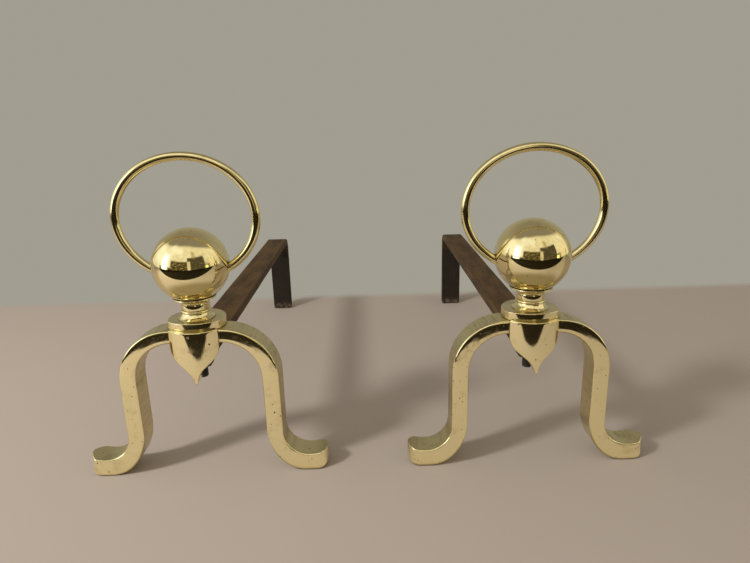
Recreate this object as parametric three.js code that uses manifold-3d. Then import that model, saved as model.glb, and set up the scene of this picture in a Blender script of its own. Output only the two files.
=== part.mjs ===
// Pair of ring-and-ball andirons: two free-standing supports for the fuel of an open hearth.
// Each one has a brass front of arched legs, a round plinth with a bowed front and a pendant drop,
// a turned base ring and neck, a ball and a ring. An iron tie rod draws that stack together: it
// screws into the ball at its top, and a square nut on its lower end holds the iron billet bar up
// against the legs. The bar carries the fuel and bends down to its own rear leg.
// Millimetres, +Z up, +Y towards the back of the hearth. The origin is on the hearth, in the
// middle of the pair. Each andiron is drawn with its axis at x = 0 and the legs' front at y = 0.

import * as THREE from 'three';
import { mergeVertices } from 'three/addons/utils/BufferGeometryUtils.js';
import Module from 'manifold-3d';

const wasm = await Module();
wasm.setup();

// Places shared by the whole andiron
const AXIS_SPACING = 309;
const AXIS_Y = 16;
const TOUCH_GAP = 0.3;

// Leg casting: an arch with two legs and turned-out feet
const LEG_DEPTH = 26;
const ARCH_TOP = 147.5;
const ARCH_UNDER = 135;
const ARCH_FLAT = 24;
const SHOULDER_R = 50;
const CROTCH_X = 22;
const SHIN_IN = 58.3;
const FOOT_TOP = 17.3;
const ANKLE_R = 24;
const TOE_END = 115.2;
const TOE_SWEEP_R = 44;
const TOE_NOSE_X = 103;
const TOE_NOSE_RISE = 7.5;
const HEEL_X = 94;
const HEEL_RISE = 46;
const TOE_PLAN_R = 9;
const LEG_EDGE = 1.8;
const SEAT_HALF = 19;

// Billet bar with its rear leg
const BAR_TOP = 130.8;
const BAR_THICK = 10.4;
const BAR_HALF_WIDTH = 16;
const BAR_FRONT = 0.6;
const BAR_BACK = 518.4;
const BAR_BEND_R = 9;
const BAR_EDGE = 0.9;
const BAR_SET_DOWN = 0.4;
const BAR_SHOULDER = 27;
const REAR_FOOT_R = 4;

// Round plinth, its front cut back to a bow, on the top of a pendant drop with a bow of its own
const PLINTH_TOP = 155.4;
const PLINTH_R = 26;
const PLINTH_BOW_R = 34.5;
const PLINTH_APEX = -5;
const PLINTH_EDGE = 0.8;
const LEDGE_TOP = 148.6;
const LEDGE_BACK = 8;
const DROP_BOW_R = 30;
const DROP_APEX = -11;
const DROP_HALF = 22.2;
const DROP_SHOULDER = 133;
const DROP_SHOULDER_PULL = 122;
const DROP_WAIST = { x: 7.2, z: 112 };
const DROP_WAIST_PULL = { x: 13, z: 118 };
const DROP_TIP = 99.3;
const DROP_TIP_HALF = 0.8;
const DROP_TIP_PULL = { x: 3.8, z: 108 };

// Turned pieces on the axis
const BASE_R = 16.5;
const BASE_RIM = 0.8;
const BASE_WAIST_R = 12.3;
const BEAD_BOTTOM = 161.2;
const BEAD_R = 13.5;
const NECK_BOTTOM = 164.2;
const NECK_R = 12.7;
const NECK_SWELL = 0.5;
const NECK_FLARE_BOTTOM = 170.5;
const COLLAR_R = 19.6;
const COLLAR_LIP = 1.1;
const COLLAR_EDGE = 1.2;
const BALL_Z = 205;
const BALL_R = 34;
const BALL_FLAT_R = 9;

// Ring: a round rod bent to an oval, its two ends let into the ball
const RING_Z = 247;
const RING_HALF_WIDTH = 62;
const RING_HALF_HEIGHT = 54;
const RING_ROD_R = 4;
const RING_END_ANGLE = THREE.MathUtils.degToRad(70);
const SOCKET_END_ANGLE = THREE.MathUtils.degToRad(72);
const SOCKET_MOUTH_ANGLE = THREE.MathUtils.degToRad(44);

// Tie rod with its washer and square nut
const ROD_R = 4.75;
const ROD_BOTTOM = 96;
const ROD_TOP = 192;
const ROD_CHAMFER = 0.8;
const BORE_R = 5.5;
const TAPPED_R = ROD_R + TOUCH_GAP;
const BALL_BORE_TOP = 194;
const WASHER_R = 12.5;
const WASHER_THICK = 2.4;
const NUT_ACROSS = 19;
const NUT_THICK = 9;
const NUT_CORNER_R = 11.8;
const NUT_CORNER_FALL = 1.9;

// How far a cutting tool runs past the face that it cuts through
const PAST = 1;

// Fineness of the facets
const ARC_STEPS = 5;
const PLAN_STEPS = 14;
const TOE_PLAN_STEPS = 7;
const TURNED_STEPS = 4;
const TURN_STEPS = 24;
const BALL_STEPS = 32;
const RING_STEPS = 48;
const RING_SIDES = 12;
const SOCKET_STEPS = 8;

const ballSeat = BALL_Z - Math.sqrt(BALL_R ** 2 - BALL_FLAT_R ** 2);
const frontToBackMiddle = (AXIS_Y - BALL_R + BAR_BACK) / 2;

const brass = { color: 0xc8a662, roughness: 0.22, metalness: 1.0 };
const satinBrass = { color: 0xb4935a, roughness: 0.34, metalness: 1.0 };
const iron = { color: 0x3a2b20, roughness: 0.7, metalness: 0.6 };
const steel = { color: 0x1d1a18, roughness: 0.55, metalness: 0.8 };

// A geometry with its shared vertices joined and without triangles that have no area
function weld(geometry) {
  const bare = geometry.clone();
  bare.deleteAttribute('normal');
  bare.deleteAttribute('uv');
  const merged = mergeVertices(bare, 1e-4);
  const index = merged.getIndex().array;
  const kept = [];
  for (let k = 0; k < index.length; k += 3) {
    const [a, b, c] = [index[k], index[k + 1], index[k + 2]];
    if (a !== b && b !== c && c !== a) kept.push(a, b, c);
  }
  merged.setIndex(kept);
  return merged;
}

function toSolid(geometry) {
  const welded = weld(geometry);
  return new wasm.Manifold(new wasm.Mesh({
    numProp: 3,
    vertProperties: new Float32Array(welded.getAttribute('position').array),
    triVerts: new Uint32Array(welded.getIndex().array),
  }));
}

function toGeometry(solid) {
  const mesh = solid.getMesh();
  const geometry = new THREE.BufferGeometry();
  geometry.setAttribute('position', new THREE.BufferAttribute(new Float32Array(mesh.vertProperties), 3));
  geometry.setIndex(Array.from(mesh.triVerts));
  geometry.computeVertexNormals();
  return geometry;
}

// A profile of (radius, height) turned about the upright axis of the andiron
function turned(profile, steps = TURN_STEPS, hollow = false) {
  const points = hollow ? [...profile, profile[0].clone()] : profile;
  const geometry = new THREE.LatheGeometry(points, steps);
  geometry.rotateX(Math.PI / 2);
  geometry.translate(0, AXIS_Y, 0);
  return weld(geometry);
}

// The points of a drawn outline, with those that fall on the one before left out
function distinct(points) {
  const before = (k) => points[(k + points.length - 1) % points.length];
  return points.filter((point, k) => point.distanceTo(before(k)) > 1e-3);
}

function outlineOf(path, steps) {
  return new THREE.Shape(distinct(path.getPoints(steps)));
}

// A shape drawn as (x, z) and run back from yFront by depth, with rounded long edges
function runBack(path, yFront, depth, edge = 0) {
  const geometry = new THREE.ExtrudeGeometry(outlineOf(path, ARC_STEPS), {
    depth: depth - 2 * edge,
    bevelEnabled: edge > 0,
    bevelThickness: edge,
    bevelSize: edge,
    bevelOffset: -edge,
    bevelSegments: 2,
  });
  geometry.rotateX(Math.PI / 2);
  geometry.translate(0, yFront + depth - edge, 0);
  return geometry;
}

// A shape drawn as (x, y) and raised from zLow by height, with broken rims
function raise(path, steps, zLow, height, edge = 0) {
  const geometry = new THREE.ExtrudeGeometry(outlineOf(path, steps), {
    depth: height - 2 * edge,
    bevelEnabled: edge > 0,
    bevelThickness: edge,
    bevelSize: edge,
    bevelOffset: -edge,
    bevelSegments: 1,
  });
  geometry.translate(0, 0, zLow + edge);
  return geometry;
}

function axisCutter(radius, zLow, zHigh) {
  const cutter = new THREE.CylinderGeometry(radius, radius, zHigh - zLow, TURN_STEPS);
  cutter.rotateX(Math.PI / 2);
  cutter.translate(0, AXIS_Y, (zLow + zHigh) / 2);
  return toSolid(cutter);
}

function roundedRectangle(xLow, yLow, xHigh, yHigh, radius) {
  const shape = new THREE.Shape();
  shape.moveTo(xLow + radius, yLow);
  shape.lineTo(xHigh - radius, yLow);
  shape.absarc(xHigh - radius, yLow + radius, radius, -Math.PI / 2, 0, false);
  shape.lineTo(xHigh, yHigh - radius);
  shape.absarc(xHigh - radius, yHigh - radius, radius, 0, Math.PI / 2, false);
  shape.lineTo(xLow + radius, yHigh);
  shape.absarc(xLow + radius, yHigh - radius, radius, Math.PI / 2, Math.PI, false);
  shape.lineTo(xLow, yLow + radius);
  shape.absarc(xLow + radius, yLow + radius, radius, Math.PI, 1.5 * Math.PI, false);
  return shape;
}

// Points along part of an ellipse, from one angle to another
function arc(centreX, centreY, radiusX, radiusY, from, to, steps) {
  const points = [];
  for (let k = 0; k <= steps; k += 1) {
    const angle = THREE.MathUtils.lerp(from, to, k / steps);
    points.push(new THREE.Vector2(centreX + radiusX * Math.cos(angle), centreY + radiusY * Math.sin(angle)));
  }
  return points;
}

// Right half of the leg outline as (x, z), from the top of the arch round the foot to the seat
function halfLegOutline() {
  const quarter = Math.PI / 2;
  const footX = ARCH_FLAT + SHOULDER_R + ANKLE_R;
  const toeAngle = Math.asin((TOE_END - footX) / TOE_SWEEP_R);
  const toeSweepZ = FOOT_TOP + TOE_SWEEP_R;
  const noseHalf = TOE_END - TOE_NOSE_X;
  const heelRun = HEEL_X - SHIN_IN;
  const crotchR = SHIN_IN - CROTCH_X;
  const fillet = CROTCH_X - SEAT_HALF;
  return [
    ...arc(ARCH_FLAT, ARCH_TOP - SHOULDER_R, SHOULDER_R, SHOULDER_R, quarter, 0, 10),
    ...arc(footX, FOOT_TOP + ANKLE_R, ANKLE_R, ANKLE_R, 2 * quarter, 3 * quarter, 7),
    ...arc(footX, toeSweepZ, TOE_SWEEP_R, TOE_SWEEP_R, -quarter, -quarter + toeAngle, 4).slice(1),
    ...arc(TOE_NOSE_X, TOE_NOSE_RISE, noseHalf, TOE_NOSE_RISE, 0, -quarter, 4),
    ...arc(HEEL_X, HEEL_RISE, heelRun, HEEL_RISE, 3 * quarter, 2 * quarter, 9),
    ...arc(CROTCH_X, ARCH_UNDER - crotchR, crotchR, crotchR, 0, quarter, 9),
    ...arc(CROTCH_X, ARCH_UNDER - fillet, fillet, fillet, quarter, 2 * quarter, 2).slice(1),
    new THREE.Vector2(SEAT_HALF, BAR_TOP - BAR_SET_DOWN),
  ];
}

function legCasting() {
  const right = halfLegOutline();
  const left = right.map((p) => new THREE.Vector2(-p.x, p.y)).reverse();
  const outline = new THREE.Shape([...right, ...left]);
  const plan = roundedRectangle(-TOE_END, 0, TOE_END, LEG_DEPTH, TOE_PLAN_R);
  const arch = toSolid(runBack(outline, 0, LEG_DEPTH, LEG_EDGE));
  const toes = toSolid(raise(plan, TOE_PLAN_STEPS, -PAST, ARCH_TOP + 2 * PAST));
  const bore = axisCutter(BORE_R, BAR_TOP - BAR_SET_DOWN - PAST, ARCH_TOP + PAST);
  return toGeometry(arch.intersect(toes).subtract(bore));
}

// Plan of the slab: a disc about the axis, its front cut back to a bow
function slabPlan() {
  const bowY = PLINTH_APEX + PLINTH_BOW_R;
  const cornerY = (PLINTH_R ** 2 - PLINTH_BOW_R ** 2 - AXIS_Y ** 2 + bowY ** 2) / (2 * (bowY - AXIS_Y));
  const cornerX = Math.sqrt(PLINTH_R ** 2 - (cornerY - AXIS_Y) ** 2);
  const bowTurn = Math.asin(cornerX / PLINTH_BOW_R);
  const discTurn = Math.atan2(cornerY - AXIS_Y, cornerX);
  const shape = new THREE.Shape();
  shape.absarc(0, bowY, PLINTH_BOW_R, -Math.PI / 2 - bowTurn, -Math.PI / 2 + bowTurn, false);
  shape.absarc(0, AXIS_Y, PLINTH_R, discTurn, Math.PI - discTurn, false);
  return shape;
}

// Plan of the drop: its bow, further forward, on straight sides that run to yBack
function dropPlan(yBack) {
  const turn = Math.asin(DROP_HALF / DROP_BOW_R);
  const middle = -Math.PI / 2;
  const shape = new THREE.Shape();
  shape.moveTo(-DROP_HALF, yBack);
  shape.absarc(0, DROP_APEX + DROP_BOW_R, DROP_BOW_R, middle - turn, middle + turn, false);
  shape.lineTo(DROP_HALF, yBack);
  return shape;
}

// Right half of the drop's front outline as (x, z), from the tip through an ogee to the shoulder
function halfDropOutline() {
  const path = new THREE.Path();
  const waist = DROP_WAIST;
  path.moveTo(DROP_TIP_HALF, DROP_TIP);
  path.quadraticCurveTo(DROP_TIP_PULL.x, DROP_TIP_PULL.z, waist.x, waist.z);
  path.bezierCurveTo(
    DROP_WAIST_PULL.x, DROP_WAIST_PULL.z,
    DROP_HALF, DROP_SHOULDER_PULL,
    DROP_HALF, DROP_SHOULDER,
  );
  path.lineTo(DROP_HALF + PAST, DROP_SHOULDER + 4 * PAST);
  path.lineTo(DROP_HALF + PAST, LEDGE_TOP + PAST);
  return path.getPoints(ARC_STEPS);
}

function plinthWithDrop() {
  const slab = toSolid(raise(slabPlan(), PLAN_STEPS, ARCH_TOP, PLINTH_TOP - ARCH_TOP, PLINTH_EDGE));
  const ledge = toSolid(raise(dropPlan(LEDGE_BACK), PLAN_STEPS, ARCH_TOP, LEDGE_TOP - ARCH_TOP));
  const below = DROP_TIP - PAST;
  const bowed = toSolid(raise(dropPlan(-TOUCH_GAP), PLAN_STEPS, below, LEDGE_TOP - below));
  const right = halfDropOutline();
  const left = right.map((p) => new THREE.Vector2(-p.x, p.y)).reverse();
  const front = new THREE.Shape([...right, ...left]);
  const outline = toSolid(runBack(front, DROP_APEX - PAST, 2 * PAST - DROP_APEX));
  const bore = axisCutter(BORE_R, ARCH_TOP - PAST, PLINTH_TOP + PAST);
  return toGeometry(slab.add(ledge).add(bowed.intersect(outline)).subtract(bore));
}

// Low foot that flares down to the plinth, with a bead on top
function baseRing() {
  const beadHalf = (NECK_BOTTOM - BEAD_BOTTOM) / 2;
  const beadX = BEAD_R - beadHalf;
  const quarter = Math.PI / 2;
  const rim = PLINTH_TOP + BASE_RIM;
  const flare = new THREE.QuadraticBezierCurve(
    new THREE.Vector2(BASE_R, rim),
    new THREE.Vector2(BASE_WAIST_R + BASE_RIM, (rim + BEAD_BOTTOM) / 2),
    new THREE.Vector2(BASE_WAIST_R, BEAD_BOTTOM),
  );
  const bead = arc(beadX, BEAD_BOTTOM + beadHalf, beadHalf, beadHalf, -quarter, quarter, TURNED_STEPS);
  return turned([
    new THREE.Vector2(BORE_R, PLINTH_TOP),
    new THREE.Vector2(BASE_R, PLINTH_TOP),
    ...flare.getPoints(TURNED_STEPS),
    ...bead,
    new THREE.Vector2(BORE_R, NECK_BOTTOM),
  ], TURN_STEPS, true);
}

// Neck that swells a little, then flares to a collar dished to take the ball
function neck() {
  const dishR = BALL_R + TOUCH_GAP;
  const lipR = COLLAR_R - COLLAR_LIP;
  const lipZ = BALL_Z - Math.sqrt(dishR ** 2 - lipR ** 2);
  const dishAngle = (radius) => -Math.PI / 2 + Math.asin(radius / dishR);
  const dishFoot = BALL_FLAT_R + 2 * TOUCH_GAP;
  const footR = NECK_R - NECK_SWELL;
  const collarBottom = lipZ - COLLAR_EDGE;
  const flareRise = collarBottom - NECK_FLARE_BOTTOM;
  const side = new THREE.Path();
  side.moveTo(footR, NECK_BOTTOM);
  side.quadraticCurveTo(NECK_R + NECK_SWELL, (NECK_BOTTOM + NECK_FLARE_BOTTOM) / 2, footR, NECK_FLARE_BOTTOM);
  side.bezierCurveTo(
    footR, NECK_FLARE_BOTTOM + flareRise / 2,
    (NECK_R + COLLAR_R) / 2, collarBottom - flareRise / 3,
    COLLAR_R, collarBottom,
  );
  return turned([
    new THREE.Vector2(BORE_R, NECK_BOTTOM),
    ...distinct(side.getPoints(TURNED_STEPS)),
    ...arc(0, BALL_Z, dishR, dishR, dishAngle(lipR), dishAngle(dishFoot), 2),
    new THREE.Vector2(BALL_FLAT_R, ballSeat),
    new THREE.Vector2(BORE_R, ballSeat),
  ], TURN_STEPS, true);
}

// The ring's centre line, by its angle below the horizontal at each end
class RingLine extends THREE.Curve {
  constructor(fromAngle, toAngle) {
    super();
    this.fromAngle = fromAngle;
    this.toAngle = toAngle;
  }

  getPoint(t) {
    const angle = THREE.MathUtils.lerp(this.fromAngle, this.toAngle, t);
    const x = RING_HALF_WIDTH * Math.cos(angle);
    const z = RING_Z + RING_HALF_HEIGHT * Math.sin(angle);
    return new THREE.Vector3(x, AXIS_Y, z);
  }
}

function rodAlong(curve, radius, steps) {
  const section = new THREE.Shape();
  section.absarc(0, 0, radius, 0, 2 * Math.PI, false);
  return new THREE.ExtrudeGeometry(section, {
    steps,
    extrudePath: curve,
    curveSegments: RING_SIDES / 2,
  });
}

function ring() {
  return weld(rodAlong(new RingLine(-RING_END_ANGLE, Math.PI + RING_END_ANGLE), RING_ROD_R, RING_STEPS));
}

function ball() {
  const flatAngle = -Math.PI / 2 + Math.asin(BALL_FLAT_R / BALL_R);
  const profile = [new THREE.Vector2(0, BALL_BORE_TOP), new THREE.Vector2(TAPPED_R, BALL_BORE_TOP)];
  profile.push(new THREE.Vector2(TAPPED_R, ballSeat), new THREE.Vector2(BALL_FLAT_R, ballSeat));
  const rings = BALL_STEPS / 2;
  for (let k = 1; k <= rings; k += 1) {
    const angle = THREE.MathUtils.lerp(flatAngle, Math.PI / 2, k / rings);
    const radius = k === rings ? 0 : BALL_R * Math.cos(angle);
    profile.push(new THREE.Vector2(radius, BALL_Z + BALL_R * Math.sin(angle)));
  }
  const whole = toSolid(turned(profile, BALL_STEPS));
  const sockets = [
    new RingLine(-SOCKET_END_ANGLE, -SOCKET_MOUTH_ANGLE),
    new RingLine(Math.PI + SOCKET_MOUTH_ANGLE, Math.PI + SOCKET_END_ANGLE),
  ];
  const socketR = RING_ROD_R + TOUCH_GAP;
  const [right, left] = sockets.map((curve) => toSolid(rodAlong(curve, socketR, SOCKET_STEPS)));
  return toGeometry(whole.subtract(right).subtract(left));
}

function tieRod() {
  const path = [
    new THREE.Vector2(0, ROD_BOTTOM),
    new THREE.Vector2(ROD_R - ROD_CHAMFER, ROD_BOTTOM),
    new THREE.Vector2(ROD_R, ROD_BOTTOM + ROD_CHAMFER),
    new THREE.Vector2(ROD_R, ROD_TOP - ROD_CHAMFER),
    new THREE.Vector2(ROD_R - ROD_CHAMFER, ROD_TOP),
    new THREE.Vector2(0, ROD_TOP),
  ];
  return turned(path);
}

function washer() {
  const top = BAR_TOP - BAR_THICK - TOUCH_GAP;
  const bottom = top - WASHER_THICK;
  return turned([
    new THREE.Vector2(BORE_R, bottom),
    new THREE.Vector2(WASHER_R, bottom),
    new THREE.Vector2(WASHER_R, top),
    new THREE.Vector2(BORE_R, top),
  ], TURN_STEPS, true);
}

// Square nut with its corners turned off at the lower face
function squareNut() {
  const top = BAR_TOP - BAR_THICK - WASHER_THICK - 2 * TOUCH_GAP;
  const bottom = top - NUT_THICK;
  const clearOfCorners = NUT_ACROSS / Math.SQRT2 + PAST / 2;
  const block = new THREE.BoxGeometry(NUT_ACROSS, NUT_ACROSS, NUT_THICK);
  block.translate(0, AXIS_Y, (bottom + top) / 2);
  const blank = turned([
    new THREE.Vector2(0, bottom),
    new THREE.Vector2(NUT_CORNER_R - 1, bottom),
    new THREE.Vector2(clearOfCorners, bottom + NUT_CORNER_FALL),
    new THREE.Vector2(clearOfCorners, top),
    new THREE.Vector2(0, top),
  ]);
  const bore = axisCutter(TAPPED_R, bottom - PAST, top + PAST);
  return toGeometry(toSolid(block).intersect(toSolid(blank)).subtract(bore));
}

// Side view of the bar as (y, z): set down a little where it passes under the legs, level behind
// them, then bent down to the hearth
function billetBar() {
  const under = BAR_TOP - BAR_THICK;
  const bendY = BAR_BACK - BAR_THICK - BAR_BEND_R;
  const bendZ = under - BAR_BEND_R;
  const outerR = BAR_BEND_R + BAR_THICK;
  const side = new THREE.Shape();
  side.moveTo(BAR_FRONT, under);
  side.lineTo(bendY, under);
  side.absarc(bendY, bendZ, BAR_BEND_R, Math.PI / 2, 0, true);
  side.lineTo(BAR_BACK - BAR_THICK, 0);
  side.lineTo(BAR_BACK, 0);
  side.lineTo(BAR_BACK, bendZ);
  side.absarc(bendY, bendZ, outerR, 0, Math.PI / 2, false);
  side.lineTo(BAR_SHOULDER, BAR_TOP);
  side.lineTo(BAR_SHOULDER, BAR_TOP - BAR_SET_DOWN);
  side.lineTo(BAR_FRONT, BAR_TOP - BAR_SET_DOWN);
  const strip = new THREE.ExtrudeGeometry(outlineOf(side, ARC_STEPS), {
    depth: 2 * BAR_HALF_WIDTH - 2 * BAR_EDGE,
    bevelEnabled: true,
    bevelThickness: BAR_EDGE,
    bevelSize: BAR_EDGE,
    bevelOffset: -BAR_EDGE,
    bevelSegments: 2,
  });
  // (y, z, x) back to (x, y, z)
  strip.translate(0, 0, -BAR_HALF_WIDTH + BAR_EDGE);
  strip.applyMatrix4(new THREE.Matrix4().makeBasis(
    new THREE.Vector3(0, 1, 0),
    new THREE.Vector3(0, 0, 1),
    new THREE.Vector3(1, 0, 0),
  ));
  const face = roundedRectangle(-BAR_HALF_WIDTH, 0, BAR_HALF_WIDTH, BAR_TOP + 2 * REAR_FOOT_R, REAR_FOOT_R);
  const ends = toSolid(runBack(face, BAR_FRONT - PAST, BAR_BACK + 2 * PAST));
  const bore = axisCutter(BORE_R, under - PAST, BAR_TOP + PAST);
  return toGeometry(toSolid(strip).intersect(ends).subtract(bore));
}

const pieces = [
  ['leg_casting', legCasting(), brass],
  ['plinth_with_drop', plinthWithDrop(), brass],
  ['base_ring', baseRing(), brass],
  ['neck', neck(), brass],
  ['ball', ball(), brass],
  ['ring', ring(), satinBrass],
  ['tie_rod', tieRod(), steel],
  ['billet_bar', billetBar(), iron],
  ['washer', washer(), steel],
  ['square_nut', squareNut(), steel],
];

function andiron(side) {
  const group = new THREE.Group();
  for (const [name, geometry, look] of pieces) {
    const mesh = new THREE.Mesh(geometry, new THREE.MeshStandardMaterial(look));
    mesh.name = `${side}_${name}`;
    group.add(mesh);
  }
  return group;
}

const pair = new THREE.Group();
const left = andiron('left');
left.position.set(-AXIS_SPACING / 2, -frontToBackMiddle, 0);
const right = andiron('right');
right.position.set(AXIS_SPACING / 2, -frontToBackMiddle, 0);
pair.add(left, right);

export default pair;
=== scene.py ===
"""Pair of ring-and-ball andirons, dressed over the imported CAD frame."""

import math

import bmesh
import bpy
from mathutils import Matrix, Vector, noise


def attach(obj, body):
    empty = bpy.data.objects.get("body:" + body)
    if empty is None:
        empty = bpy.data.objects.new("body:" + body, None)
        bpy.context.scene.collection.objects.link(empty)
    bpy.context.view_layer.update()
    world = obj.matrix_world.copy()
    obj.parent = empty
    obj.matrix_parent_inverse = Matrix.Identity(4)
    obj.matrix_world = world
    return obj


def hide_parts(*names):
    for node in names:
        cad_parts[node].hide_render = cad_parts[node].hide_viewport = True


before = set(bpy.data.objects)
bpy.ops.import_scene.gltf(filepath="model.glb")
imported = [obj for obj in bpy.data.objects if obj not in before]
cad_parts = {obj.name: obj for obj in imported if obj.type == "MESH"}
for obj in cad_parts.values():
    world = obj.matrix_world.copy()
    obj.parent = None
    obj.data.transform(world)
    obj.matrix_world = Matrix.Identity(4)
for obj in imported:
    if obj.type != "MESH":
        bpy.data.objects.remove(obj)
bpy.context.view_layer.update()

# Places in millimetres, from the axis of one andiron (x), the legs' front (y) and the hearth (z)
MM = 0.001
AXIS_Y = 16.0
HALF_SPACING = 154.5
FRONT_TO_MIDDLE = 250.2
SIDES = (("left", -HALF_SPACING), ("right", HALF_SPACING))

LEG_DEPTH = 26.0
ARCH_TOP = 147.5
ARCH_UNDER = 135.0
ARCH_FLAT = 24.0
SHOULDER_R = 50.0
CROTCH_X = 22.0
SHIN_IN = 58.3
FOOT_TOP = 17.3
ANKLE_R = 24.0
TOE_END = 115.2
TOE_SWEEP_R = 44.0
TOE_NOSE_X = 103.0
TOE_NOSE_RISE = 7.5
HEEL_X = 94.0
HEEL_RISE = 46.0
TOE_PLAN_R = 9.0
LEG_EDGE = 1.6
LEG_CROWN = 0.45
LEG_CROWN_STEPS = 14
ARCH_LEAN = 0.3
ARCH_LEAN_FROM = 120.0
SEAT_HALF = 19.0
SEAT_Z = 130.4
SHOULDER_STEPS = 40
SHIN_STEPS = 12
ANKLE_STEPS = 26
TOE_STEPS = 16
LEG_EDGE_STEPS = 5

BAR_TOP = 130.8
BAR_THICK = 10.4
BAR_HALF_WIDTH = 16.0
BAR_FRONT = 0.6
BAR_BACK = 518.4
BAR_BEND_R = 9.0
BAR_EDGE = 1.3
BAR_SET_DOWN = 0.4
BAR_SHOULDER = 27.0
REAR_FOOT_R = 4.0
BAR_STEPS = 70
BEND_STEPS = 24
BAR_UNEVEN = 0.14

PLINTH_TOP = 155.4
PLINTH_R = 26.0
PLINTH_BOW_R = 34.5
PLINTH_APEX = -5.0
PLINTH_EDGE = 0.7
LEDGE_TOP = 148.6
DROP_BOW_R = 30.0
DROP_APEX = -11.0
DROP_HALF = 22.2
DROP_SHOULDER = 133.0
DROP_SHOULDER_PULL = 122.0
DROP_WAIST = (7.2, 112.0)
DROP_WAIST_PULL = (13.0, 118.0)
DROP_TIP = 99.3
DROP_TIP_HALF = 0.8
DROP_TIP_PULL = (3.8, 108.0)
DROP_TIP_LEAN = 1.3
DROP_BACK = -0.3
DROP_LEAN_BACK = 0.45
DROP_SIDE_EDGE = 1.3
DROP_TOP_EDGE = 0.9
DROP_ROWS = 60
DROP_ROW_GAP = 1.2

BASE_R = 16.5
BASE_RIM = 0.8
BASE_WAIST_R = 12.3
BEAD_BOTTOM = 161.2
BEAD_R = 13.5
NECK_BOTTOM = 164.2
NECK_R = 12.7
NECK_SWELL = 0.15
NECK_FLARE_BOTTOM = 170.5
COLLAR_R = 19.6
COLLAR_LIP = 1.1
COLLAR_EDGE = 1.2
BALL_Z = 205.0
BALL_R = 34.0
BALL_FLAT_R = 9.0
TOUCH_GAP = 0.3

RING_Z = 247.0
RING_HALF_WIDTH = 62.0
RING_HALF_HEIGHT = 54.0
RING_ROD_R = 4.0
RING_END_ANGLE = math.radians(70)
RING_STEPS = 220
RING_SIDES = 28
RING_UNEVEN = 0.12

ROD_R = 4.75
ROD_BOTTOM = 96.0
ROD_TOP = 192.0
THREAD_PITCH = 1.59
THREAD_DEPTH = 0.55
THREAD_ROWS = 150
THREAD_ROW_STEP = 0.16
ROD_SIDES = 40
ROD_CHAMFER = 0.8
ROD_CHAMFER_DEPTH = 0.9
BORE_R = 5.5
WASHER_R = 12.5
WASHER_THICK = 2.4
NUT_ACROSS = 19.0
NUT_THICK = 9.0
NUT_CORNER_R = 11.8
NUT_CORNER_FALL = 2.2
NUT_SIDES = 96


# Camera, at the photograph's place: focal length in pixels, angles in radians

IMAGE_WIDTH = 750
FOCAL_LENGTH = 564.07
CAMERA_PITCH = 0.27398
CAMERA_ROLL = -0.026361
CAMERA_YAW = 0.010004
CAMERA_PLACE = (6.1, -480.8, 323.93)


def make_camera():
    data = bpy.data.cameras.new("photo_camera")
    data.sensor_width = 36.0
    data.lens = FOCAL_LENGTH / IMAGE_WIDTH * data.sensor_width
    data.clip_start = 0.01
    data.clip_end = 50
    cam = bpy.data.objects.new("photo_camera", data)
    bpy.context.collection.objects.link(cam)
    pitch, roll, yaw = CAMERA_PITCH, CAMERA_ROLL, CAMERA_YAW
    right = Vector((math.cos(yaw), -math.sin(yaw), 0))
    forward = Vector((math.sin(yaw) * math.cos(pitch), math.cos(yaw) * math.cos(pitch),
                      -math.sin(pitch)))
    up = right.cross(forward)
    side = right * math.cos(roll) + up * math.sin(roll)
    top = up * math.cos(roll) - right * math.sin(roll)
    x, y, z = CAMERA_PLACE
    place = Vector((x, y - FRONT_TO_MIDDLE, z)) * MM
    cam.matrix_world = Matrix((
        (side.x, top.x, -forward.x, place.x),
        (side.y, top.y, -forward.y, place.y),
        (side.z, top.z, -forward.z, place.z),
        (0, 0, 0, 1),
    ))
    bpy.context.scene.camera = cam


make_camera()


# Mesh helpers: every piece is a loft of closed rows of points in millimetres

def mix(a, b, t):
    return a + (b - a) * t


def arc(cx, cz, rx, rz, start, end, steps):
    """Points of an ellipse about (cx, cz) between two angles in degrees, both ends included."""
    points = []
    for k in range(steps + 1):
        angle = math.radians(mix(start, end, k / steps))
        points.append((cx + rx * math.cos(angle), cz + rz * math.sin(angle)))
    return points


def line(a, b, steps):
    """Points from a towards b, without a itself."""
    return [(mix(a[0], b[0], k / steps), mix(a[1], b[1], k / steps)) for k in range(1, steps + 1)]


def bezier(a, b, c, d, steps):
    """Points of a cubic Bezier curve, both ends included."""
    points = []
    for k in range(steps + 1):
        t = k / steps
        s = 1 - t
        weights = (s ** 3, 3 * s * s * t, 3 * s * t * t, t ** 3)
        points.append(tuple(sum(w * p[i] for w, p in zip(weights, (a, b, c, d))) for i in (0, 1)))
    return points


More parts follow.
